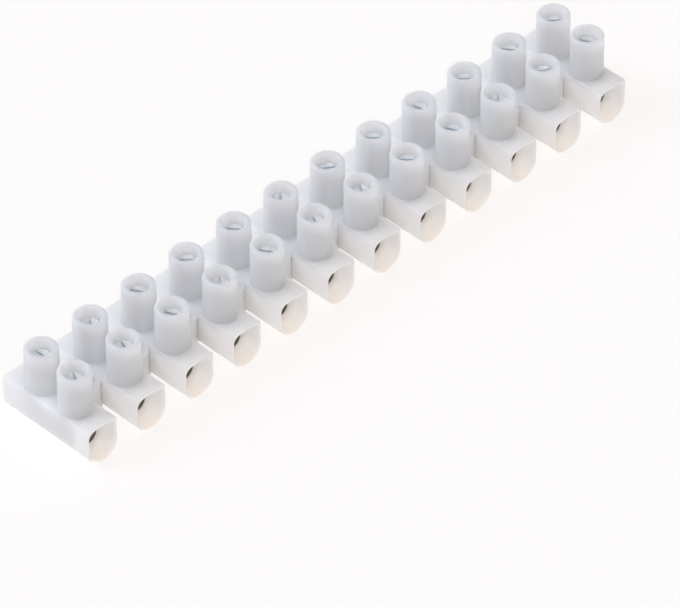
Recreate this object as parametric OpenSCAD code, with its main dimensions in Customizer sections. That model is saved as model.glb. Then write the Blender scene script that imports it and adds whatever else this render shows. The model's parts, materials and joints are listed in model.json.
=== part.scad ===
// Twelve-way screw terminal strip. A soft white moulding carries one brass clamp tube in each
// pole, with two slotted screws that turn down into the tube and clamp a wire from each side.
// X runs along the strip and Z is up. The strip rests on Z = 0 and is centred on X and Y.

/* [Strip] */
// Number of poles side by side
poles = 12; // [2:1:12]
// Distance from one pole to the next
pitch = 10; // [9.4:0.2:13]
// Depth of the moulding from front to back
depth = 18.6; // [17:0.2:26]

/* [Pole bars] */
// Width of one pole bar, whose underside is a half round of this diameter
bar_w = 5.8; // [5.4:0.1:6.4]
// Height of the flat top of the bars
deck_h = 7; // [6.2:0.1:8.5]
// Radius along the two long top edges of a bar
deck_edge_r = 0.3; // [0.1:0.05:0.6]

/* [Screw towers] */
// Outside diameter of a tower
tower_d = 5.4; // [4.6:0.1:5.6]
// Overall height, to the top of the towers
strip_h = 14.5; // [13:0.5:20]
// Diameter of the screw shaft down through a tower
shaft_d = 3.3; // [2.9:0.1:3.6]
// Diameter of the flared mouth of that shaft
shaft_mouth_d = 4.2; // [3.7:0.1:4.5]
// Depth of the flare
shaft_mouth_h = 0.7; // [0.3:0.1:1.5]
// Radius of the outer rim of a tower
tower_rim_r = 0.2; // [0.1:0.05:0.4]

/* [Wire entries] */
// Thickness of the lip round the mouth of a wire entry
lip_t = 0.35; // [0.2:0.05:0.5]
// Radius in the top corners of the mouth
mouth_corner_r = 1; // [0.5:0.1:1.6]
// Depth of the funnel from the end face to the throat
funnel_depth = 3.3; // [2.4:0.1:3.6]
// Diameter of the throat in front of the clamp tube
throat_d = 3.5; // [3.4:0.1:4.2]
// Length of the throat, which is also the stop for the clamp tube
throat_t = 0.4; // [0.2:0.1:0.6]

/* [Fixing eyes] */
// Diameter of the hole for a fixing screw between two poles
eye_hole_d = 3.2; // [2.4:0.1:3.4]
// Wall of the eye round that hole
eye_wall = 0.9; // [0.7:0.05:1.1]
// Thickness of the web that joins two bars through the eye
web_t = 2.6; // [1.8:0.1:4]
// How far the web runs into the side of each bar
web_sink = 0.4; // [0.2:0.05:0.6]

/* [Clamp tubes] */
// Outside diameter of the brass tube
tube_d = 4.8; // [4.5:0.1:4.9]
// Bore of the brass tube
tube_bore_d = 3.3; // [2.8:0.1:3.4]
// Clearance all round between the tube and its seat
seat_gap = 0.03; // [0.01:0.01:0.06]
// Distance from an end of the tube to the middle of the screw and the tower there
screw_inset = 1.95; // [1.6:0.05:2.5]

/* [Clamp screws] */
// Diameter over the thread
thread_d = 2.5; // [2:0.1:2.6]
// Running clearance round the thread in the tapped hole
thread_gap = 0.05; // [0.02:0.01:0.1]
// Diameter of the cylindrical head
head_d = 2.7; // [2.6:0.1:2.8]
// Height of the head
head_h = 1.8; // [1.2:0.1:2.4]
// How far the top of the head lies below the top of the tower
head_sink = 1.5; // [0.8:0.1:2.5]
// Width of the screwdriver slot
slot_w = 0.5; // [0.3:0.05:0.8]
// Depth of the screwdriver slot
slot_h = 0.8; // [0.4:0.1:1.1]
// Gap between the tip of an open screw and the bore of the tube
tip_gap = 0.1; // [0.05:0.05:0.4]

/* [Hidden] */
$fn = 64;

// Surplus by which a cutting shape passes the face that it cuts
over = 0.5;
// The wire runs through the middle of the half round underside
wire_z = bar_w / 2;
seat_r = tube_d / 2 + seat_gap;
tube_l = depth - 2 * (funnel_depth + throat_t);
tower_y = tube_l / 2 - screw_inset;
eye_r = eye_hole_d / 2 + eye_wall;
mouth_w = bar_w - 2 * lip_t;
mouth_top = deck_h - lip_t;
// Farthest point of the mouth from the wire, where the funnel's cone meets the end face
mouth_reach = mouth_corner_r + norm([
    mouth_w / 2 - mouth_corner_r,
    mouth_top - mouth_corner_r - wire_z
]);
screw_top_z = strip_h - head_sink;
screw_tip_z = wire_z + tube_bore_d / 2 + tip_gap;
thread_tip_chamfer = 0.3;
head_edge = 0.2;
// Directions of the screwdriver slots, in degrees from X, from the first pole to the last
front_slots = [60, 70, 115, 48, 120, 65, 55, 135, 115, 45, 155, 110];
rear_slots = [90, 50, 120, 139, 130, 50, 145, 135, 100, 135, 125, 145];

// Place of pole i on X, with i from 1 to poles
function pole_x(i) = (i - (poles + 1) / 2) * pitch;

// Half round below, flat on top, and rounded at the two top corners: the outline of a bar,
// or of a mouth set in from it by inset
module bar_outline(inset, corner_r) {
    w = bar_w - 2 * inset;
    top = deck_h - inset;
    translate([0, wire_z]) circle(d = w);
    translate([-w / 2, wire_z]) square([w, top - wire_z - corner_r]);
    translate([corner_r - w / 2, wire_z]) square([w - 2 * corner_r, top - wire_z]);
    for (side = [-1, 1])
        translate([side * (w / 2 - corner_r), top - corner_r]) circle(r = corner_r);
}

// A solid of length l with the given outline, run along Y from y0
module along_y(y0, l) {
    translate([0, y0 + l, 0]) rotate([90, 0, 0]) linear_extrude(l) children();
}

// Cylinder or cone about the wire's axis, from y0 to y0 + l
module wire_cylinder(y0, l, r_start, r_end) {
    translate([0, y0, wire_z]) rotate([-90, 0, 0]) cylinder(h = l, r1 = r_start, r2 = r_end);
}

// Upright tower with a rounded outer rim, as a revolved profile that starts inside the bar
module tower() {
    r = tower_d / 2;
    base_z = wire_z;
    translate([0, 0, base_z]) rotate_extrude() {
        square([r, strip_h - base_z - tower_rim_r]);
        square([r - tower_rim_r, strip_h - base_z]);
        translate([r - tower_rim_r, strip_h - base_z - tower_rim_r])
            intersection() {
                circle(r = tower_rim_r);
                square(tower_rim_r);
            }
    }
}

// Screw shaft down to the clamp tube, with its flared mouth
module screw_shaft() {
    translate([0, 0, wire_z]) cylinder(h = strip_h - wire_z + over, d = shaft_d);
    flare = (shaft_mouth_d - shaft_d) / shaft_mouth_h;
    translate([0, 0, strip_h - shaft_mouth_h])
        cylinder(
            h = shaft_mouth_h + over,
            d1 = shaft_d,
            d2 = shaft_mouth_d + flare * over
        );
}

// Wire entry on the front face: a cone from the throat, cut off by the outline of the mouth.
// The throat's radius is throat_r
module funnel(throat_r) {
    slope = (mouth_reach - throat_r) / funnel_depth;
    intersection() {
        along_y(-depth / 2 - over, funnel_depth + over) bar_outline(lip_t, mouth_corner_r);
        wire_cylinder(
            -depth / 2 - over,
            funnel_depth + over,
            mouth_reach + slope * over,
            throat_r
        );
    }
}

// One pole of the moulding, solid
module pole_solid() {
    along_y(-depth / 2, depth) bar_outline(0, deck_edge_r);
    for (side = [-1, 1]) translate([0, side * tower_y, 0]) tower();
}

// All that is hollow in one pole. The tube slides in from the rear, up to the front throat
module pole_hollow() {
    tube_y = tube_l / 2;
    funnel(throat_d / 2);
    mirror([0, 1, 0]) funnel(seat_r);
    wire_cylinder(-tube_y - throat_t - over, throat_t + 2 * over, throat_d / 2, throat_d / 2);
    wire_cylinder(-tube_y, tube_l + throat_t + over, seat_r, seat_r);
    for (side = [-1, 1]) translate([0, side * tower_y, 0]) screw_shaft();
}

// Eye and web between two poles, down to the surface that the strip stands on
module eye_solid() {
    reach = (pitch - bar_w) / 2 + web_sink;
    cylinder(h = deck_h, r = eye_r);
    translate([-reach, -web_t / 2, 0]) cube([2 * reach, web_t, deck_h]);
}

module housing() {
    color([0.93, 0.94, 0.96]) difference() {
        union() {
            for (i = [1:poles]) translate([pole_x(i), 0, 0]) pole_solid();
            for (i = [1:poles - 1]) translate([pole_x(i) + pitch / 2, 0, 0]) eye_solid();
        }
        for (i = [1:poles]) translate([pole_x(i), 0, 0]) pole_hollow();
        for (i = [1:poles - 1])
            translate([pole_x(i) + pitch / 2, 0, -over])
                cylinder(h = deck_h + 2 * over, d = eye_hole_d);
    }
}

// Brass tube with two tapped holes in its upper wall
module clamp_tube(i) {
    color([0.8, 0.66, 0.36]) translate([pole_x(i), 0, 0]) difference() {
        wire_cylinder(-tube_l / 2, tube_l, tube_d / 2, tube_d / 2);
        wire_cylinder(-tube_l / 2 - over, tube_l + 2 * over, tube_bore_d / 2, tube_bore_d / 2);
        for (side = [-1, 1])
            translate([0, side * tower_y, wire_z])
                cylinder(h = tube_d / 2 + over, d = thread_d + 2 * thread_gap);
    }
}

// Slotted screw about Z, from its tip to the top of its head, as one revolved profile
module screw(slot_angle) {
    thread_r = thread_d / 2;
    head_r = head_d / 2;
    head_z = screw_top_z - head_h;
    color([0.7, 0.75, 0.8]) difference() {
        rotate_extrude() polygon([
            [0, screw_tip_z],
            [thread_r - thread_tip_chamfer, screw_tip_z],
            [thread_r, screw_tip_z + thread_tip_chamfer],
            [thread_r, head_z],
            [head_r, head_z],
            [head_r, screw_top_z - head_edge],
            [head_r - head_edge, screw_top_z],
            [0, screw_top_z]
        ]);
        rotate([0, 0, slot_angle]) translate([-head_d, -slot_w / 2, screw_top_z - slot_h])
            cube([2 * head_d, slot_w, slot_h + over]);
    }
}

module front_screw(i) { translate([pole_x(i), -tower_y, 0]) screw(front_slots[i - 1]); }
module rear_screw(i) { translate([pole_x(i), tower_y, 0]) screw(rear_slots[i - 1]); }

housing();
for (i = [1:poles]) {
    clamp_tube(i);
    front_screw(i);
    rear_screw(i);
}
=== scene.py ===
"""Dresses the screw terminal strip: the soft white moulding, its brass clamp tubes and its zinc
plated screws, on a pale table. Lengths in the panels are in millimetres, and meshes in metres."""

import json
import math

import bpy
import numpy as np
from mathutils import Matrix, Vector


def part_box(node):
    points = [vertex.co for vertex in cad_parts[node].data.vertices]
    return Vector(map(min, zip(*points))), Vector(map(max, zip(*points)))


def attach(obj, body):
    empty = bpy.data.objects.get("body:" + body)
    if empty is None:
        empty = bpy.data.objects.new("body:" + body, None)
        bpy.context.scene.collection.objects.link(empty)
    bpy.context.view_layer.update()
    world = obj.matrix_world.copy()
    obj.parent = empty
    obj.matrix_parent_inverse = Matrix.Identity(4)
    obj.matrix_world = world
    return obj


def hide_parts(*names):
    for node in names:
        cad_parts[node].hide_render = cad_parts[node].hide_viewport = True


bl_info = {
    "name": "Screw Terminal Strip",
    "version": (1, 0, 0),
    "blender": (4, 5, 0),
    "location": "3D View > Sidebar > Terminal Strip",
    "description": "Builds a moulded screw terminal strip with its tubes and screws",
    "category": "Object",
}

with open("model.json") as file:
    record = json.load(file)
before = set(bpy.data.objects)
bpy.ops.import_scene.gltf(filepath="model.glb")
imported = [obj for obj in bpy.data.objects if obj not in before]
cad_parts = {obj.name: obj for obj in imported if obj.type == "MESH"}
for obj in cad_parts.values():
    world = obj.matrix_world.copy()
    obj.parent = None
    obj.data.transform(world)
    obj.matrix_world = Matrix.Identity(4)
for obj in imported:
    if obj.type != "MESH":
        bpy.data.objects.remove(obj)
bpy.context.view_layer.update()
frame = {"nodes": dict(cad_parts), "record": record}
MM = 0.001
OVER = 1.0  # how far a cutting shape passes the face that it cuts, in millimetres
SIDES = {"front": -1, "rear": 1}
# Direction of each lamp, as azimuth from the X axis and elevation, and its width, in degrees
LAMPS = {
    "top": (0, 90, 60),
    "key": (135, 42, 45),
    "front": (225, 42, 45),
    "back": (60, 14, 30),
    "side": (315, 14, 30),
}
# White that the camera sees of the table, and the share it has over the table's own shading
SEEN_WHITE = (0.94, 0.93, 0.93, 1.0)
SEEN_SHARE = 0.7


# ---------------------------------------------------------------- sizes taken from the frame


def node_box(name):
    """Lowest and highest corner of a node, in millimetres."""
    low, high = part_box(name)
    return np.array(low) / MM, np.array(high) / MM


def mount(name):
    """The record's mount of that name."""
    return next(m for m in frame["record"]["mounts"] if m["name"] == name)


HOUSING_LOW, HOUSING_HIGH = node_box("housing")
TUBE_LOW, TUBE_HIGH = node_box("clamp_tube_1")
SCREW_LOW, SCREW_HIGH = node_box("front_screw_1")
POLES = sum(name.startswith("clamp_tube_") for name in frame["nodes"])
POLE_X = [float(np.mean([b[0] for b in node_box(f"clamp_tube_{i + 1}")])) for i in range(POLES)]
EYE_X = [(a + b) / 2 for a, b in zip(POLE_X, POLE_X[1:])]
DEPTH = float(HOUSING_HIGH[1] - HOUSING_LOW[1])
STRIP_H = float(HOUSING_HIGH[2])
WIRE_Z = float((TUBE_LOW[2] + TUBE_HIGH[2]) / 2)
BAR_W = 2 * WIRE_Z
TUBE_R = float((TUBE_HIGH[2] - TUBE_LOW[2]) / 2)
TUBE_L = float(TUBE_HIGH[1] - TUBE_LOW[1])
TUBE_BORE_R = mount("wire_entry_front_1")["dims"]["r_mm"]
TOWER_Y = abs(float((SCREW_LOW[1] + SCREW_HIGH[1]) / 2))
DECK_H = mount("fixing_eye_centre")["dims"]["length_mm"]
EYE_HOLE_R = mount("fixing_eye_centre")["dims"]["r_mm"]
HEAD_R = float((SCREW_HIGH[0] - SCREW_LOW[0]) / 2)
SCREW_TIP_Z = float(SCREW_LOW[2])
SCREW_TOP_Z = float(SCREW_HIGH[2])


# ---------------------------------------------------------------- surfaces


def arc(centre, radius, start, end, steps):
    """Points on a circle: centre plus radius times the cosine and sine of an angle in degrees."""
    t = np.radians(np.linspace(start, end, steps + 1))
    return np.stack([centre[0] + radius * np.cos(t), centre[1] + radius * np.sin(t)], -1)


def full_turn(count):
    """Angles in radians of so many points round a circle."""
    return np.linspace(0, 2 * np.pi, count, endpoint=False)


def grid_faces(rows, cols, wrap_rows=False):
    """Quads of a grid whose points are numbered row by row, and whose rows are rings: each
    joins a point to its right neighbour, the one diagonally up and the one above. Where the
    rows wrap, the last one joins the first."""
    r = np.arange(rows if wrap_rows else rows - 1)[:, None]
    c = np.arange(cols)[None, :]
    r_next, c_next = (r + 1) % rows, (c + 1) % cols
    quads = [r * cols + c, r * cols + c_next, r_next * cols + c_next, r_next * cols + c]
    return np.stack(quads, -1).reshape(-1, 4)


def tube_of_rings(rings):
    """A closed shell through rings of equal length, each an array of points in order, with
    a middle point added to close the first and the last ring. Returns points and faces."""
    rings = np.asarray(rings, float)
    count, around = rings.shape[:2]
    middles = [rings[0].mean(0)[None], rings[-1].mean(0)[None]]
    points = np.concatenate([rings.reshape(-1, 3), *middles])
    j = np.arange(around)
    j_next = (j + 1) % around
    first, last = count * around, count * around + 1
    start = np.stack([j_next, j, np.full(around, first)], -1)
    top = (count - 1) * around
    end = np.stack([top + j, top + j_next, np.full(around, last)], -1)
    return points, [grid_faces(count, around), start, end]


def rings_about_z(profile, around):
    """Rings of a profile of (radius, height) points turned about Z: the point at angle t is
    radius times cosine and sine of t across the axis, and height along it."""
    t = full_turn(around)[None, :]
    r, h = (np.asarray(profile, float)[:, k, None] for k in (0, 1))
    return np.stack([r * np.cos(t), r * np.sin(t), h + 0 * t], -1)


def revolve(profile, around):
    """A closed shell from a profile of (radius, height) points turned about Z."""
    return tube_of_rings(rings_about_z(profile, around))


def shifted(shell, offset):
    """The same shell, moved by an offset."""
    return shell[0] + np.asarray(offset, float), shell[1]


def mesh_of(name, shells):
    """A new object holding all the shells, which are in millimetres and become metres."""
    points, faces, first = [], [], 0
    for p, groups in shells:
        points.append(p)
        faces += [(g + first).tolist() for g in groups]
        first += len(p)
    mesh = bpy.data.meshes.new(name)
    mesh.from_pydata(np.concatenate(points) * MM, [], [f for g in faces for f in g])
    mesh.validate()
    mesh.update()
    piece = bpy.data.objects.new(name, mesh)
    bpy.context.scene.collection.objects.link(piece)
    return piece


def combine(piece, operation, shells):
    """Joins the shells to the piece, or cuts them out of it, as solids."""
    other = mesh_of(piece.name + "_tool", shells)
    step = piece.modifiers.new("combine", "BOOLEAN")
    step.solver = "MANIFOLD"
    step.operation = operation
    step.object = other
    made = bpy.data.meshes.new_from_object(
        piece.evaluated_get(bpy.context.evaluated_depsgraph_get())
    )
    if not made.polygons:
        raise RuntimeError(f"{piece.name}: {operation} left nothing")
    piece.modifiers.clear()
    piece.data = made
    bpy.data.objects.remove(other)


def points_of(mesh):
    """The points of a mesh, in metres."""
    co = np.empty(len(mesh.vertices) * 3)
    mesh.vertices.foreach_get("co", co)
    return co.reshape(-1, 3)


def placed_copy(first, name, offset, degrees=0.0):
    """A copy of a piece whose points are turned about Z, by the plane's rotation matrix, and
    then moved by an offset in millimetres, in a mesh of its own."""
    c, s = math.cos(math.radians(degrees)), math.sin(math.radians(degrees))
    points = points_of(first.data) @ np.array([[c, s, 0], [-s, c, 0], [0, 0, 1]])
    piece = first.copy()
    piece.data = first.data.copy()
    piece.name = name
    piece.data.vertices.foreach_set("co", (points + np.array(offset) * MM).ravel())
    piece.data.update()
    bpy.context.scene.collection.objects.link(piece)
    return piece


def smooth_by_angle(piece, degrees):
    """Smooth shading, apart from edges that turn by more than the angle."""
    piece.data.polygons.foreach_set("use_smooth", np.ones(len(piece.data.polygons), bool))
    piece.data.set_sharp_from_angle(angle=math.radians(degrees))


def dress(piece, body, slot, material, *nodes):
    """Gives a finished piece its material, its body and the nodes it stands for. The slot is not
    used.
    """
    piece.data.materials.clear()
    piece.data.materials.append(material)
    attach(piece, body)
    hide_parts(*nodes)


# ---------------------------------------------------------------- shader maths


class Socket:
    """A shader value that can be added, multiplied and so on, each as a Math node."""

    def __init__(self, nodes, link):
        self.nodes = nodes
        self.link = link

    def _math(self, operation, *values):
        return self.nodes.node("ShaderNodeMath", {"operation": operation}, *values)

    def __add__(self, other):
        return self._math("ADD", self, other)

    def __radd__(self, other):
        return self._math("ADD", other, self)

    def __sub__(self, other):
        return self._math("SUBTRACT", self, other)

    def __rsub__(self, other):
        return self._math("SUBTRACT", other, self)

    def __mul__(self, other):
        return self._math("MULTIPLY", self, other)

    def __rmul__(self, other):
        return self._math("MULTIPLY", other, self)

    def limited(self):
        """The value held between 0 and 1."""
        return self.nodes.node("ShaderNodeClamp", {}, self)

    def span(self, low, high):
        """0 below low, 1 above high and a straight line between them."""
        return self.nodes.node("ShaderNodeMapRange", {"clamp": True}, self, low, high)

    def plateau(self, low, rise, fall, high):
        """0 outside low and high, 1 from rise to fall, and straight lines between them."""
        return self.span(low, rise) * (1 - self.span(fall, high))


class Material:
    """A material's node tree with one method that makes nodes, and short names for a few."""

    def __init__(self, name):
        self.made = bpy.data.materials.new(name)
        self.made.use_nodes = True
        self.tree = self.made.node_tree
        self.shader = self.tree.nodes["Principled BSDF"]
        self.out = self.tree.nodes["Material Output"]
        self.place = self.node("ShaderNodeTexCoord", {}, output="Object")

    def node(self, kind, settings, *values, output=0):
        """A node of that kind: its settings first, then its sockets in order or by name."""
        made = self.tree.nodes.new(kind)
        for key, value in settings.items():
            if key != "sockets":
                setattr(made, key, value)
        named = {**dict(enumerate(values)), **settings.get("sockets", {})}
        for key, value in named.items():
            self.plug(made.inputs[key], value)
        return Socket(self, made.outputs[output])

    def plug(self, socket, value):
        """Links a Socket, or sets a plain value."""
        if isinstance(value, Socket):
            self.tree.links.new(value.link, socket)
        else:
            socket.default_value = value

    def set(self, **values):
        """Sets the shader's sockets, with underscores for the spaces in their names."""
        for name, value in values.items():
            self.plug(self.shader.inputs[name.replace("_", " ")], value)

    def noise(self, scale, detail, place=None):
        """Noise over the piece, from 0 to 1, at a number of features per metre."""
        sockets = {
            "Vector": place or self.place,
            "Scale": scale,
            "Detail": detail,
            "Roughness": 0.55,
        }
        return self.node("ShaderNodeTexNoise", {"sockets": sockets})

    def mix(self, factor, first, second):
        """A colour between two others."""
        sockets = {0: factor, 6: first, 7: second}
        return self.node("ShaderNodeMix", {"data_type": "RGBA", "sockets": sockets}, output=2)

    def bump(self, height, strength, distance):
        """A normal that leans with a height."""
        sockets = {"Height": height, "Strength": strength, "Distance": distance}
        return self.node("ShaderNodeBump", {"sockets": sockets})


def rgba(colour):
    """A colour property with its alpha."""
    return (*colour, 1.0)


# ---------------------------------------------------------------- properties


def size(name, description, default, low=0.01, high=50.0):
    """A length in millimetres."""
    return bpy.props.FloatProperty(
        name=name, description=description, default=default, min=low, max=high, unit="NONE"
    )


def colour(name, description, default):
    """A linear colour."""
    return bpy.props.FloatVectorProperty(
        name=name, description=description, default=default, subtype="COLOR", min=0, max=1
    )


def lamp_colour(name, description, default):
    """Strength of a lamp in red, green and blue, in watts a square metre."""
    return bpy.props.FloatVectorProperty(
        name=name, description=description, default=default, subtype="COLOR", min=0, max=10
    )


def share(name, description, default):
    """A plain number from 0 to 1."""
    return bpy.props.FloatProperty(
        name=name, description=description, default=default, min=0.0, max=1.0
    )


class MouldingSettings(bpy.types.PropertyGroup):
    """Sizes and finish of the white moulding."""

    deck_edge: size("Deck edge", "Radius along the top edges of a bar, in mm", 0.3)
    end_edge: size("End edge", "Radius round the end faces, in mm", 0.08)
    tower_r: size("Tower radius", "Outer radius of a screw tower, in mm", 2.7)
    tower_rim: size("Tower rim", "Radius of the outer rim of a tower, in mm", 0.45)
    tower_foot: size("Tower foot", "Radius of the blend into the deck, in mm", 0.16)
    shaft_r: size("Shaft radius", "Radius of the screw shaft, in mm", 1.65)
    mouth_r: size("Shaft mouth radius", "Radius of the flared mouth, in mm", 2.15)
    mouth_h: size("Shaft mouth depth", "Depth of the flare, in mm", 0.9)
    lip: size("Entry lip", "Wall round the mouth of a wire entry, in mm", 0.35)
    lip_edge: size("Lip edge", "What the rounded mouth leaves of that wall, in mm", 0.05)
    lip_corner: size("Entry corner", "Radius in the mouth's top corners, in mm", 1.0)
    funnel: size("Funnel depth", "Depth of the funnel to the throat, in mm", 3.3)
    throat_r: size("Throat radius", "Radius of the throat, in mm", 1.8)
    throat_t: size("Throat length", "Length of the throat, in mm", 0.4)
    seat_gap: size("Seat clearance", "Clearance round the clamp tube, in mm", 0.03, 0.0)
    eye_wall: size("Eye wall", "Wall of a fixing eye, in mm", 0.9)
    web_t: size("Web thickness", "Thickness of the web between bars, in mm", 2.6)
    web_sink: size("Web sink", "How far a web runs into a bar, in mm", 0.4)
    body_colour: colour("Body colour", "Colour of the plastic", (0.98, 0.98, 0.98))
    # painted shade: the throat before each tube is painted dark brown, tinted by the brass behind
    # it
    throat_colour: colour("Throat colour", "Brown of the throat", (0.10, 0.072, 0.042))
    scatter: share("Scatter", "Share of light that travels inside the plastic", 0.8)
    wall_scatter: share("Wall scatter", "The same in the thin walls beside a tube", 0.25)
    scatter_depth: size("Scatter depth", "How far light travels in the plastic, in mm", 8.0)
    roughness: share("Roughness", "Roughness of the moulded skin", 0.42)


class TubeSettings(bpy.types.PropertyGroup):
    """Sizes and finish of the brass clamp tubes."""

    chamfer: size("Chamfer", "Chamfer at the ends of the bore, in mm", 0.12)
    hole_r: size("Tapped hole", "Radius of a tapped hole, in mm", 1.3)
    body_colour: colour("Brass colour", "Colour of the clean brass", (0.96, 0.88, 0.72))
    # painted shade: the bore wall of each tube is painted dark brown
    dark_colour: colour("Tarnish colour", "Colour of the brass in the bore", (0.18, 0.13, 0.08))


class ScrewSettings(bpy.types.PropertyGroup):
    """Sizes and finish of the clamp screws."""

    head_h: size("Head height", "Height of the head, in mm", 1.8)
    head_edge: size("Head edge", "Radius round the top of the head, in mm", 0.2)
    slot_w: size("Slot width", "Width of the screwdriver slot, in mm", 0.4)
    slot_h: size("Slot depth", "Depth of the screwdriver slot, in mm", 0.8)
    thread_r: size("Thread radius", "Radius over the thread, in mm", 1.25)
    thread_pitch: size("Thread pitch", "Distance between turns, in mm", 0.45)
    thread_depth: size("Thread depth", "Depth of the thread, in mm", 0.24)
    body_colour: colour("Zinc colour", "Colour of the plating", (0.92, 0.96, 0.98))


class StageSettings(bpy.types.PropertyGroup):
    """Camera, lamps and table."""

    azimuth: bpy.props.FloatProperty(
        name="Azimuth", description="Where the camera stands round the strip",
        default=math.radians(-44.65), subtype="ANGLE",
    )
    elevation: bpy.props.FloatProperty(
        name="Elevation", description="Height of the camera over the table",
        default=math.radians(41.67), subtype="ANGLE",
    )
    roll: bpy.props.FloatProperty(
        name="Roll", description="Lean of the camera", default=math.radians(-0.40),
        subtype="ANGLE",
    )
    distance: size("Distance", "Distance of the camera from its target, in mm", 1087.4, 1, 5000)
    target_x: size("Target X", "Place of the target along the strip, in mm", -5.41, -200, 200)
    target_y: size("Target Y", "Place of the target across the strip, in mm", -9.46, -200, 200)
    lens: size("Lens", "Focal length of the camera, in mm", 377.3, 10, 1000)
    table_colour: colour("Table colour", "Colour of the table", (0.93, 0.93, 0.93))
    table_glow: colour("Table glow", "Light that the lit table gives", (0.374, 0.329, 0.281))
    room: colour("Room light", "Even light from all round", (0.127, 0.123, 0.115))
    top_light: lamp_colour("Top light", "Strength of the light overhead", (0.505, 0.527, 0.543))
    key_light: lamp_colour("Key light", "Strength of the light on the left", (1.10, 1.24, 1.44))
    front_light: lamp_colour("Front light", "Strength of the light in front", (0.80, 0.75, 0.80))
    back_light: lamp_colour("Back light", "Strength of the low light behind", (0.40, 0.36, 0.38))
    side_light: lamp_colour("Side light", "Strength of the low light right", (0.443, 0.42, 0.40))


# ---------------------------------------------------------------- moulding


def bar_outline(inset, corner, steps=6, bottom=40):
    """Outline of a bar in X and Z, set in by inset: a half round below, upright sides, and
    a flat top with two corner arcs. It runs from the left end of the half round."""
    half, top = BAR_W / 2 - inset, DECK_H - inset
    right = arc((half - corner, top - corner), corner, 0, 90, steps)
    left = arc((corner - half, top - corner), corner, 90, 180, steps)
    return np.concatenate([arc((0, WIRE_Z), half, 180, 360, bottom), right, left])


def bar_shell(m, x):
    """One bar: its outline run along Y, shrinking by edge minus edge times cosine as Y nears
    each end by edge times sine, which rounds the edges of the end faces."""
    turn = np.radians(np.linspace(0, 90, 5))
    insets = m.end_edge * (1 - np.cos(turn))
    ends = DEPTH / 2 - m.end_edge + m.end_edge * np.sin(turn)
    rings = []
    for y, inset in [*zip(-ends[::-1], insets[::-1]), *zip(ends, insets)]:
        xz = bar_outline(inset, m.deck_edge - inset)
        rings.append(np.stack([x + xz[:, 0], np.full(len(xz), y), xz[:, 1]], -1))
    return tube_of_rings(np.array(rings)[::-1])


def tower_profile(m):
    """Half section of a tower: a foot that flares by a quarter round, an upright wall and a
    rounded rim."""
    foot = arc((m.tower_r + m.tower_foot, DECK_H + m.tower_foot), m.tower_foot, 270, 180, 4)
    rim = arc((m.tower_r - m.tower_rim, STRIP_H - m.tower_rim), m.tower_rim, 0, 90, 6)
    return np.concatenate([[[m.tower_r + m.tower_foot, WIRE_Z + 1]], foot, rim])


def shaft_profile(m):
    """Half section of a screw shaft: a straight bore, a soft corner and a flared mouth that
    opens by a quarter of an ellipse."""
    above = 0.02
    t = np.radians(np.linspace(0, 80, 7))
    r = m.mouth_r - (m.mouth_r - m.shaft_r) * np.cos(t)
    z = STRIP_H - m.mouth_h + m.mouth_h * np.sin(t)
    flare = np.stack([r, z], -1)
    top = [[m.mouth_r, STRIP_H + above], [m.mouth_r, STRIP_H + OVER]]
    return np.concatenate([[[m.shaft_r, WIRE_Z]], flare, top])


def outline_reach(points, angles):
    """Distance from the wire's axis to a closed outline in each direction: for every edge the
    ray's crossing is found from two cross products, and the nearest crossing counts."""
    tiny, slack = 1e-12, 1e-6
    p = points - np.array([0, WIRE_Z])
    q = np.roll(p, -1, axis=0)
    d = np.stack([np.cos(angles), np.sin(angles)], -1)[:, None, :]
    edge = (q - p)[None]
    cross = d[..., 0] * edge[..., 1] - d[..., 1] * edge[..., 0]
    cross = np.where(np.abs(cross) < tiny, tiny, cross)
    along = (p[None, :, 0] * edge[..., 1] - p[None, :, 1] * edge[..., 0]) / cross
    share_of_edge = (p[None, :, 0] * d[..., 1] - p[None, :, 1] * d[..., 0]) / cross
    hit = (share_of_edge >= -slack) & (share_of_edge <= 1 + slack) & (along > 0)
    return np.where(hit, along, np.inf).min(1)


def passage_shell(m, x, around=72):
    """All that is hollow along the wire in one pole, as rings about the wire's axis. In a
    funnel the radius is a soft minimum of the mouth's outline and a straight cone, and from
    the throat on it is that of the throat and of the tube's seat. The lip is rounded: the
    outline grows towards the face by a quarter of an ellipse."""
    angles = full_turn(around)
    mouth = outline_reach(bar_outline(m.lip, m.lip_corner, steps=24, bottom=96), angles)
    rounded = m.lip - m.lip_edge
    near_face = 2 * rounded * (1 - np.cos(np.radians(np.linspace(0, 90, 6))))
    depths = np.concatenate([near_face, np.linspace(near_face[-1], m.funnel, 12)[1:]])
    face, over, blend, hair = DEPTH / 2, 0.4, 0.18, 1e-4

    def funnel(depth, throat):
        t = min(depth / (2 * rounded), 1)
        wide = mouth + rounded * (1 - math.sqrt(t * (2 - t)))
        cone = throat + (wide.max() - throat) * (1 - depth / m.funnel)
        gap = np.sqrt((wide - cone) ** 2 + blend**2 * (1 - depth / m.funnel))
        return (wide + cone - gap) / 2

    seat = TUBE_R + m.seat_gap
    rows = [(-face - over, funnel(0, m.throat_r)), (-face, funnel(0, m.throat_r))]
    rows += [(-face + d, funnel(d, m.throat_r)) for d in depths[1:]]
    rows += [(-face + m.funnel + m.throat_t, np.full(around, m.throat_r))]
    rows += [(-TUBE_L / 2 - hair, np.full(around, seat))]
    rows += [(face - d, funnel(d, seat)) for d in depths[::-1]]
    rows += [(face + over, funnel(0, seat))]
    rings = [
        np.stack([x + r * np.cos(angles), np.full(around, y), WIRE_Z + r * np.sin(angles)], -1)
        for y, r in rows
    ]
    return tube_of_rings(np.array(rings)[::-1])


def box_shell(low, high):
    """A plain box between two corners, as two rings of four points."""
    (x0, y0, z0), (x1, y1, z1) = low, high
    ring = [(x0, y0), (x1, y0), (x1, y1), (x0, y1)]
    return tube_of_rings([[(x, y, z) for x, y in ring] for z in (z0, z1)])


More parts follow.
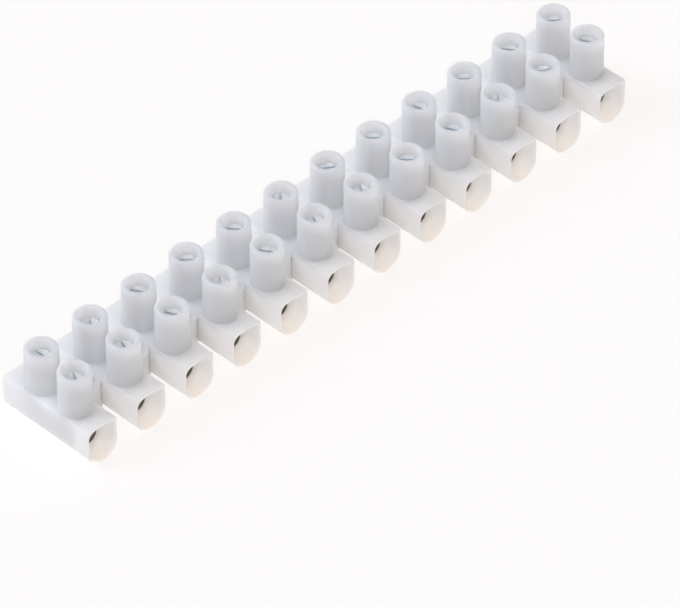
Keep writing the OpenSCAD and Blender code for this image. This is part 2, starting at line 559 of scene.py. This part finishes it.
def place_in_pole(look):
    """Place on the strip in millimetres: X, Y and Z, and the distance on X from the middle of
    the nearest pole, for which X is folded to one pole."""
    x, y, z = (
        look.node("ShaderNodeSeparateXYZ", {}, look.place, output=k) * (1 / MM) for k in range(3)
    )
    pitch = POLE_X[1] - POLE_X[0]
    start = POLE_X[0] - pitch / 2
    fold = {"operation": "WRAP"}
    return x, y, z, look.node("ShaderNodeMath", fold, x, start + pitch, start) - POLE_X[0]


def throat_shade_share(m, y, z, across):
    """1 on the wall of the short throat before each tube, where the painted shade goes, and 0
    elsewhere: it is found by its distance from the wire's axis and by its place on Y."""
    up = z - WIRE_Z
    near = 1 - (across * across + up * up).span((TUBE_R - 0.1) ** 2, TUBE_R**2)
    start, end = m.funnel - DEPTH / 2, -TUBE_L / 2
    return near * y.plateau(start, start + 0.02, end + 0.1, end + 0.2)


def thin_wall_share(x, z, across):
    """1 on the outside of the thin walls beside the tubes, and 0 elsewhere. It fades out
    towards the deck, and on the outer walls of the two end bars it is half, low down only."""
    half, slope, at_ends = BAR_W / 2, 0.1, 0.5
    inside, at_wall, past = ((half + d) ** 2 for d in (-0.25, -0.1, 0.05))
    side = (across * across).plateau(inside, at_wall, past, past * 1.05)
    below_deck = 1 - z.span(DECK_H - 0.8, DECK_H - 0.1)
    between = x.plateau(POLE_X[0], POLE_X[0] + slope, POLE_X[-1] - slope, POLE_X[-1])
    low = 1 - z.span(WIRE_Z + 0.9, WIRE_Z + 2.3)
    return side * below_deck * (between + at_ends * low * (1 - between))


def moulding_material(m):
    """Soft translucent plastic: faint clouds in the colour, a satin skin and a fine bump. The
    throat before each tube is painted dark brown: painted shade of the deep throat, tinted by the
    brass behind it. The thin walls beside a tube have a smaller share of inner scatter, because
    light that goes in there is cut off after a few bounces, which would leave them too dark."""
    look = Material("soft_white_moulding")
    clouds = look.noise(90, 2)
    skin = look.noise(1400, 4)
    x, y, z, across = place_in_pole(look)
    light, shade = rgba(m.body_colour), rgba([c * 0.955 for c in m.body_colour])
    plain = look.mix(clouds.span(0.35, 0.7), light, shade)
    sockets = {
        # painted shade: dark brown painted on the throat wall, tinted by the brass behind it
        "Base Color": look.mix(throat_shade_share(m, y, z, across), plain, rgba(m.throat_colour)),
        "Roughness": m.roughness + 0.12 * (skin - 0.5),
        "Normal": look.bump(skin * 0.6 + clouds * 0.4, 0.12, 0.0001),
        "IOR": 1.5,
        "Subsurface Scale": m.scatter_depth * MM,
        "Subsurface Radius": (1.0, 0.95, 0.9),
    }
    thick, thin = (
        look.node(
            "ShaderNodeBsdfPrincipled", {"sockets": {**sockets, "Subsurface Weight": weight}}
        )
        for weight in (m.scatter, m.wall_scatter)
    )
    mixed = look.node("ShaderNodeMixShader", {}, thin_wall_share(x, z, across), thick, thin)
    look.plug(look.out.inputs["Surface"], mixed)
    look.tree.nodes.remove(look.shader)
    return look.made


class STRIP_OT_moulding(bpy.types.Operator):
    """Build the one-piece moulding: bars, towers, fixing eyes and wire entries"""

    bl_idname = "strip.moulding"
    bl_label = "Moulding"

    def execute(self, context):
        m = context.scene.strip_moulding
        towers = [(x, sign * TOWER_Y, 0) for x in POLE_X for sign in SIDES.values()]
        eye_r = EYE_HOLE_R + m.eye_wall
        reach = (POLE_X[1] - POLE_X[0] - BAR_W) / 2 + m.web_sink
        piece = mesh_of("moulding", [bar_shell(m, x) for x in POLE_X])
        webs = [
            box_shell((x - reach, -m.web_t / 2, 0), (x + reach, m.web_t / 2, DECK_H))
            for x in EYE_X
        ]
        combine(piece, "UNION", webs)
        eye = revolve([(eye_r, 0), (eye_r, DECK_H)], around=64)
        combine(piece, "UNION", [shifted(eye, (x, 0, 0)) for x in EYE_X])
        tower = revolve(tower_profile(m), around=80)
        combine(piece, "UNION", [shifted(tower, at) for at in towers])
        combine(piece, "DIFFERENCE", [passage_shell(m, x) for x in POLE_X])
        shaft = revolve(shaft_profile(m), around=64)
        combine(piece, "DIFFERENCE", [shifted(shaft, at) for at in towers])
        hole = revolve([(EYE_HOLE_R, -OVER), (EYE_HOLE_R, DECK_H + OVER)], around=48)
        combine(piece, "DIFFERENCE", [shifted(hole, (x, 0, 0)) for x in EYE_X])
        smooth_by_angle(piece, degrees=35)
        dress(piece, "strip", "moulding", moulding_material(m), "housing")
        return {"FINISHED"}


# ---------------------------------------------------------------- clamp tubes


def tube_shell(t, around=72):
    """A thick tube about the wire's axis: the half section goes along the bore, out over a
    chamfer, back along the outside and closes on itself."""
    half, c = TUBE_L / 2, t.chamfer
    section = np.array(
        [
            [TUBE_BORE_R, -half + c],
            [TUBE_BORE_R, half - c],
            [TUBE_BORE_R + c, half],
            [TUBE_R - c / 2, half],
            [TUBE_R, half - c / 2],
            [TUBE_R, -half + c / 2],
            [TUBE_R - c / 2, -half],
            [TUBE_BORE_R + c, -half],
        ]
    )
    angles = full_turn(around)[None, :]
    r, y = section[:, 0, None], section[:, 1, None]
    points = np.stack([r * np.cos(angles), y + 0 * angles, WIRE_Z + r * np.sin(angles)], -1)
    return points.reshape(-1, 3), [grid_faces(len(section), around, wrap_rows=True)]


def mark_bore(piece):
    """Stores an attribute that is 1 on the wall of the bore and 0 outside it, which places the
    painted shade in the bore: the distance from the wire's axis, set against the middle of the
    wall."""
    x, _, z = points_of(piece.data).T / MM
    inside = np.hypot(x, z - WIRE_Z) < (TUBE_BORE_R + TUBE_R) / 2
    layer = piece.data.attributes.new("bore", "FLOAT", "POINT")
    layer.data.foreach_set("value", inside.astype(np.float32))


def brass_material(t):
    """Drawn brass: rings and specks along the tube, and painted shade in the bore, which is
    painted dark brown.
    """
    look = Material("drawn_brass")
    squeezed = look.node(
        "ShaderNodeMapping", {"sockets": {"Vector": look.place, "Scale": (1, 14, 1)}}
    )
    rings = look.noise(900, 3, place=squeezed)
    clouds = look.noise(500, 3)
    inside = look.node("ShaderNodeAttribute", {"attribute_name": "bore"}, output="Fac")
    look.set(
        # painted shade: the bore wall is painted dark brown, with faint clouds mixed in
        Base_Color=look.mix(
            inside * 0.8 + clouds * 0.2, rgba(t.body_colour), rgba(t.dark_colour)
        ),
        Metallic=1.0,
        Roughness=0.3 + 0.2 * rings,
        Normal=look.bump(rings, 0.2, 0.00005),
    )
    return look.made


class STRIP_OT_tubes(bpy.types.Operator):
    """Build the brass clamp tubes, each with two tapped holes"""

    bl_idname = "strip.tubes"
    bl_label = "Clamp tubes"

    def execute(self, context):
        t = context.scene.strip_tubes
        first = mesh_of("clamp_tube_form", [tube_shell(t)])
        hole = revolve([(t.hole_r, WIRE_Z), (t.hole_r, WIRE_Z + TUBE_R + OVER)], around=48)
        combine(first, "DIFFERENCE", [shifted(hole, (0, s * TOWER_Y, 0)) for s in SIDES.values()])
        smooth_by_angle(first, degrees=35)
        mark_bore(first)
        brass = brass_material(t)
        for i, x in enumerate(POLE_X, 1):
            piece = placed_copy(first, f"tube_{i}", (x, 0, 0))
            piece.visible_diffuse = False  # else it would take the light of the thin wall
            dress(piece, "strip", "brass", brass, f"clamp_tube_{i}")
        bpy.data.objects.remove(first)
        return {"FINISHED"}


# ---------------------------------------------------------------- screws


def slot_direction(node):
    """Direction of a screw's slot, in degrees: the main axis of the points at its floor, from
    the largest singular vector."""
    co = points_of(frame["nodes"][node].data) / MM
    slot_h = bpy.context.scene.strip_screws.slot_h
    floor = co[np.abs(co[:, 2] - (SCREW_TOP_Z - slot_h)) < 0.02, :2]
    _, _, axes = np.linalg.svd(floor - floor.mean(0))
    return math.degrees(math.atan2(axes[0][1], axes[0][0]))


def screw_shell(s, around=48):
    """A screw about Z. On the shank the radius is that of the thread less a rounded tooth,
    a cosine of the height less the angle's share of a turn, and it fades out at the tip and
    under the head, which is a plain profile with a rounded edge."""
    tip, runout, under_head, rings_per_turn, fullness = 0.3, 0.2, 0.05, 8, 0.8
    t = full_turn(around)[None, :]
    head_z = SCREW_TOP_Z - s.head_h
    steps = int((head_z - SCREW_TIP_Z) / s.thread_pitch * rings_per_turn)
    z = np.linspace(SCREW_TIP_Z, head_z, steps)[:, None]
    phase = 2 * np.pi * (z / s.thread_pitch) - t
    tooth = s.thread_depth * (0.5 + 0.5 * np.cos(phase)) ** fullness
    end = np.clip((z - SCREW_TIP_Z) / tip, 0, 1)
    r = s.thread_r - tip * (1 - end) - tooth * end * np.clip((head_z - z) / runout, 0, 1)
    shank = np.stack([r * np.cos(t), r * np.sin(t), z + 0 * t], -1)
    e = s.head_edge
    rim = arc((HEAD_R - e, SCREW_TOP_Z - e), e, 0, 90, 4)
    foot = [[HEAD_R - under_head, head_z], [HEAD_R, head_z + under_head]]
    head = rings_about_z(np.concatenate([foot, rim]), around)
    return tube_of_rings(np.concatenate([shank, head]))


def zinc_material(s):
    """Bluish zinc plate: faint clouds and fine specks over bright metal."""
    look = Material("zinc_plate")
    specks = look.noise(2600, 3)
    clouds = look.noise(700, 2)
    dull = rgba([c * 0.8 for c in s.body_colour])
    look.set(
        Base_Color=look.mix(clouds.span(0.35, 0.7), rgba(s.body_colour), dull),
        Metallic=0.25,
        Roughness=0.32 + 0.22 * specks,
        Normal=look.bump(specks, 0.15, 0.00003),
    )
    return look.made


class STRIP_OT_screws(bpy.types.Operator):
    """Build the slotted clamp screws of both rows"""

    bl_idname = "strip.screws"
    bl_label = "Clamp screws"

    def execute(self, context):
        s = context.scene.strip_screws
        first = mesh_of("screw_form", [screw_shell(s)])
        low = (-2 * HEAD_R, -s.slot_w / 2, SCREW_TOP_Z - s.slot_h)
        high = (2 * HEAD_R, s.slot_w / 2, SCREW_TOP_Z + OVER)
        combine(first, "DIFFERENCE", [box_shell(low, high)])
        smooth_by_angle(first, degrees=40)
        zinc = zinc_material(s)
        for side, sign in SIDES.items():
            for i, x in enumerate(POLE_X, 1):
                node = f"{side}_screw_{i}"
                name, place = f"{side}_clamp_screw_{i}", (x, sign * TOWER_Y, 0)
                piece = placed_copy(first, name, place, slot_direction(node))
                dress(piece, f"{node}_body", "zinc", zinc, node)
        bpy.data.objects.remove(first)
        return {"FINISHED"}


# ---------------------------------------------------------------- stage


def soft_light(name, azimuth, elevation, width, strength):
    """A wide soft light far off in one direction, its width in degrees of the sky. Azimuth
    runs from the X axis, and its red, green and blue strengths set its power and tint."""
    light = bpy.data.lights.new(name, "SUN")
    light.angle = math.radians(width)
    light.energy = max(strength)
    light.color = [c / max(strength) for c in strength]
    lamp = bpy.data.objects.new(name, light)
    bpy.context.scene.collection.objects.link(lamp)
    a, e = math.radians(azimuth), math.radians(elevation)
    towards = (-math.cos(a) * math.cos(e), -math.sin(a) * math.cos(e), -math.sin(e))
    aim = lamp.location.__class__(towards)
    lamp.rotation_euler = aim.to_track_quat("-Z", "Y").to_euler()


def table_material(g):
    """An opal table lit from below: matt, with a glow of its own. Where it is seen it is
    mostly plain white, and the rest is its own shading, so that the strip's shadow stays."""
    look = Material("opal_table")
    look.set(
        Base_Color=rgba(g.table_colour),
        Roughness=0.9,
        Specular_IOR_Level=0.1,
        Emission_Color=rgba(g.table_glow),
        Emission_Strength=1.0,
    )
    path = look.tree.nodes.new("ShaderNodeLightPath")
    seen = Socket(look, path.outputs["Is Camera Ray"])
    glossy = Socket(look, path.outputs["Is Glossy Ray"])
    through = Socket(look, path.outputs["Is Transmission Ray"])
    direct = (seen + glossy + through).limited()
    white = look.node("ShaderNodeEmission", {}, SEEN_WHITE, 1.0)
    body = Socket(look, look.shader.outputs[0])
    mixed = look.node("ShaderNodeMixShader", {}, direct * SEEN_SHARE, body, white)
    look.plug(look.out.inputs["Surface"], mixed)
    return look.made


def white_world(g):
    """A plain world: white where it is seen, and a faint even light elsewhere."""
    world = bpy.data.worlds.new("studio")
    world.use_nodes = True
    bpy.context.scene.world = world
    tree = world.node_tree
    background = tree.nodes["Background"]
    background.inputs["Color"].default_value = rgba(g.room)
    white = tree.nodes.new("ShaderNodeBackground")
    white.inputs["Color"].default_value = (1, 1, 1, 1)
    path = tree.nodes.new("ShaderNodeLightPath")
    most = tree.nodes.new("ShaderNodeMath")
    most.operation = "MAXIMUM"
    tree.links.new(path.outputs["Is Camera Ray"], most.inputs[0])
    tree.links.new(path.outputs["Is Transmission Ray"], most.inputs[1])
    mixed = tree.nodes.new("ShaderNodeMixShader")
    tree.links.new(most.outputs[0], mixed.inputs[0])
    tree.links.new(background.outputs[0], mixed.inputs[1])
    tree.links.new(white.outputs[0], mixed.inputs[2])
    tree.links.new(mixed.outputs[0], tree.nodes["World Output"].inputs["Surface"])


class STRIP_OT_stage(bpy.types.Operator):
    """Set up the camera, the table and the lamps"""

    bl_idname = "strip.stage"
    bl_label = "Stage"

    def execute(self, context):
        g = context.scene.strip_stage
        scene = context.scene
        scene.view_settings.view_transform = "Standard"
        lens = bpy.data.cameras.new("camera")
        lens.lens = g.lens
        lens.clip_start, lens.clip_end = 0.01, 20
        camera = bpy.data.objects.new("camera", lens)
        scene.collection.objects.link(camera)
        scene.camera = camera
        vector = camera.location.__class__
        back = vector(
            (
                math.sin(g.azimuth) * math.cos(g.elevation),
                -math.cos(g.azimuth) * math.cos(g.elevation),
                math.sin(g.elevation),
            )
        )
        camera.location = vector((g.target_x, g.target_y, 0)) * MM + back * g.distance * MM
        camera.rotation_mode = "QUATERNION"
        upright = (-back).to_track_quat("-Z", "Y")
        lean = upright.__class__((0, 0, 1), g.roll)
        camera.rotation_quaternion = upright @ lean
        half, thick = 4000, 20
        table = mesh_of("table", [box_shell((-half, -half, -thick), (half, half, 0))])
        table.data.materials.append(table_material(g))
        white_world(g)
        for name, (azimuth, elevation, width) in LAMPS.items():
            soft_light(name, azimuth, elevation, width, getattr(g, f"{name}_light"))
        return {"FINISHED"}


# ---------------------------------------------------------------- panel and registration


class STRIP_PT_panel(bpy.types.Panel):
    """Sidebar panel with the builders and their settings"""

    bl_label = "Terminal Strip"
    bl_idname = "STRIP_PT_panel"
    bl_space_type = "VIEW_3D"
    bl_region_type = "UI"
    bl_category = "Terminal Strip"

    def draw(self, context):
        for operator, group in BUILDERS:
            box = self.layout.box()
            box.operator(operator.bl_idname)
            settings = getattr(context.scene, group)
            for name in settings.__annotations__:
                box.prop(settings, name)


GROUPS = {
    "strip_moulding": MouldingSettings,
    "strip_tubes": TubeSettings,
    "strip_screws": ScrewSettings,
    "strip_stage": StageSettings,
}
BUILDERS = (
    (STRIP_OT_stage, "strip_stage"),
    (STRIP_OT_moulding, "strip_moulding"),
    (STRIP_OT_tubes, "strip_tubes"),
    (STRIP_OT_screws, "strip_screws"),
)


def register():
    for group, settings in GROUPS.items():
        bpy.utils.register_class(settings)
        setattr(bpy.types.Scene, group, bpy.props.PointerProperty(type=settings))
    for operator, _ in BUILDERS:
        bpy.utils.register_class(operator)
    bpy.utils.register_class(STRIP_PT_panel)


def unregister():
    bpy.utils.unregister_class(STRIP_PT_panel)
    for operator, _ in BUILDERS:
        bpy.utils.unregister_class(operator)
    for group, settings in GROUPS.items():
        delattr(bpy.types.Scene, group)
        bpy.utils.unregister_class(settings)


def main():
    register()
    bpy.ops.strip.stage()
    bpy.ops.strip.moulding()
    bpy.ops.strip.tubes()
    bpy.ops.strip.screws()


if __name__ == "__main__":
    main()
